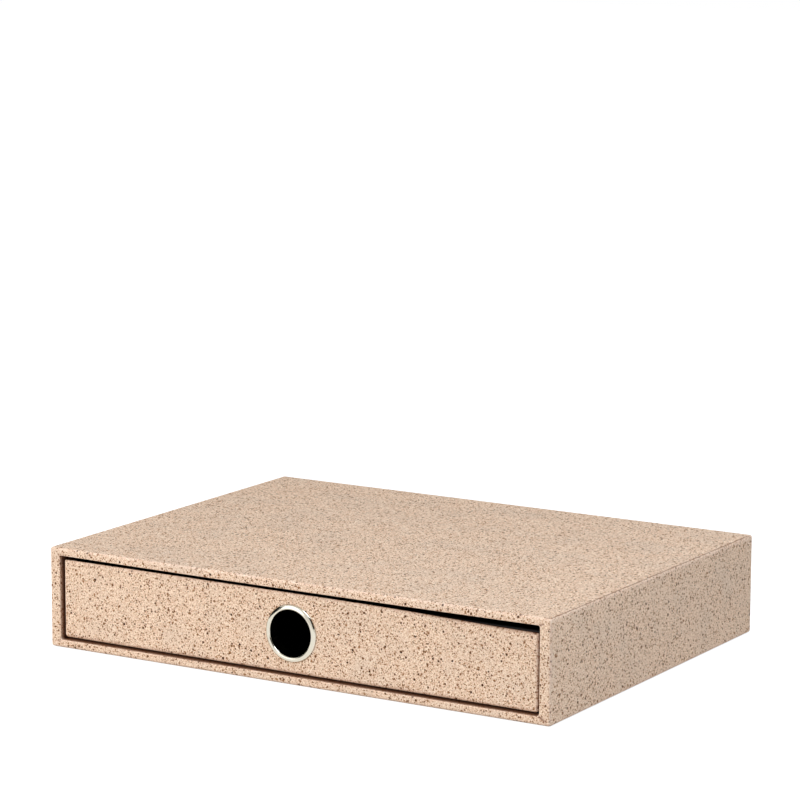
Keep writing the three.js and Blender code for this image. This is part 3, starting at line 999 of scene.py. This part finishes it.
washer_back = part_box("eyelet_washer")[1].y
build = bmesh.new()
bmesh.ops.create_cone(build, cap_ends=True, segments=CUTTER_SIDES, radius1=HOLE_RADIUS,
                      radius2=HOLE_RADIUS, depth=2 * (washer_back - low.y))
cutter_mesh = bpy.data.meshes.new("hole_cutter")
build.to_mesh(cutter_mesh)
build.free()
cutter = bpy.data.objects.new("hole_cutter", cutter_mesh)
cutter.rotation_euler.x = math.pi / 2
cutter.location = (hole_middle[0], low.y, hole_middle[1])
uncut = bpy.data.objects.new("uncut_wrap", wrap)
for made in (cutter, uncut):
    bpy.context.scene.collection.objects.link(made)
punch = uncut.modifiers.new("finger_hole", "BOOLEAN")
punch.operation = "DIFFERENCE"
punch.object = cutter
bpy.context.view_layer.update()
evaluated = uncut.evaluated_get(bpy.context.evaluated_depsgraph_get())
mesh = bpy.data.meshes.new_from_object(evaluated)
for made in (cutter, uncut):
    bpy.data.objects.remove(made)
mesh.name = "tray_wrap_punched"
add_piece(mesh, black_paper_material, "drawer", "black_paper", "tray_wall_paper")

# %% [markdown]
# ## The eyelet
#
# The eyelet is spun from thin sheet: a flange in front, a barrel through both boards, and a
# rolled end that grips the washer behind. A lathe is a loft too. Its section is a closed loop,
# and each point of it runs once round the hole. The flange isn't an even dome: it steepens from
# its crest outwards and rolls over tightly into the hole. The two dark arcs that one sees on it
# are as wide as its slope makes them.

# %% The eyelet
BORE_RADIUS = 13.5 * MM
METAL = 0.6 * MM
ROLL_RADIUS = 16.1 * MM
FLANGE_DOME = 1.5 * MM
FLANGE_CREST = 14.6 * MM
CREST_SLOPE_DEG = 12
EDGE_SLOPE_DEG = 58
ROLL_DOME = 0.9 * MM
DOME_STEPS = 20
TURN_STEPS = 128

flange_radius = (eyelet_high.x - eyelet_low.x) / 2
flange_seat = eyelet_low.y + FLANGE_DOME
roll_seat = eyelet_high.y - ROLL_DOME


def flange_face():
    """From the foot of the flange's edge over its crest to the hole."""
    share = np.linspace(0, 1, DOME_STEPS + 1)
    slope = np.tan(np.radians(CREST_SLOPE_DEG + (EDGE_SLOPE_DEG - CREST_SLOPE_DEG) * share ** 2))
    fall = np.concatenate([[0], np.cumsum((slope[1:] + slope[:-1]) / 2) / DOME_STEPS])
    reach = flange_radius - FLANGE_CREST
    outer = [(FLANGE_CREST + reach * s, eyelet_low.y + reach * f) for s, f in zip(share, fall)]
    inner = [(FLANGE_CREST - (FLANGE_CREST - BORE_RADIUS) * math.sin(a),
              flange_seat - FLANGE_DOME * math.cos(a))
             for a in np.linspace(0, math.pi / 2, DOME_STEPS // 2 + 1)]
    return [(flange_radius, flange_seat), *outer[::-1], *inner[1:]]


def dome(outer, inner, seat, rise):
    """Half an ellipse in section, from its outer radius to its inner one."""
    angles = np.linspace(0, math.pi, DOME_STEPS + 1)
    return [((outer + inner) / 2 + (outer - inner) / 2 * math.cos(a), seat + rise * math.sin(a))
            for a in angles]


barrel = BORE_RADIUS + METAL
section = flange_face()
section += dome(ROLL_RADIUS, BORE_RADIUS, roll_seat, ROLL_DOME)[::-1]
section += dome(ROLL_RADIUS - METAL, barrel, roll_seat, ROLL_DOME - METAL)
section += dome(flange_radius - METAL, barrel, flange_seat, METAL - FLANGE_DOME)[::-1]
turn = np.linspace(0, 2 * math.pi, TURN_STEPS, endpoint=False)
rings = np.array([np.stack([hole_middle[0] + radius * np.cos(turn),
                            np.full(TURN_STEPS, depth),
                            hole_middle[1] + radius * np.sin(turn)], axis=1)
                  for radius, depth in section])
add_piece(loft("spun_eyelet", rings), nickel_material, "drawer", "nickel_plate", "eyelet")

# %% [markdown]
# ## The pieces that stay
#
# The boards, the linings and the pasted sheets are flat and square on the real box, so the
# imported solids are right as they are. Each takes the finish that the record names for it.

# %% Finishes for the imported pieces
FINISHES = {
    "speckled_paper": paper_material,
    "greyboard": board_materials["pressed_greyboard"],
    "black_board": board_materials["dyed_black_board"],
    "black_paper": black_paper_material,
    "nickel_plate": nickel_material,
}

for part in frame["record"]["subparts"]:
    node = frame["nodes"][part["node"]]
    for slot in node.material_slots:
        slot.material = FINISHES[part["material_slot"]]
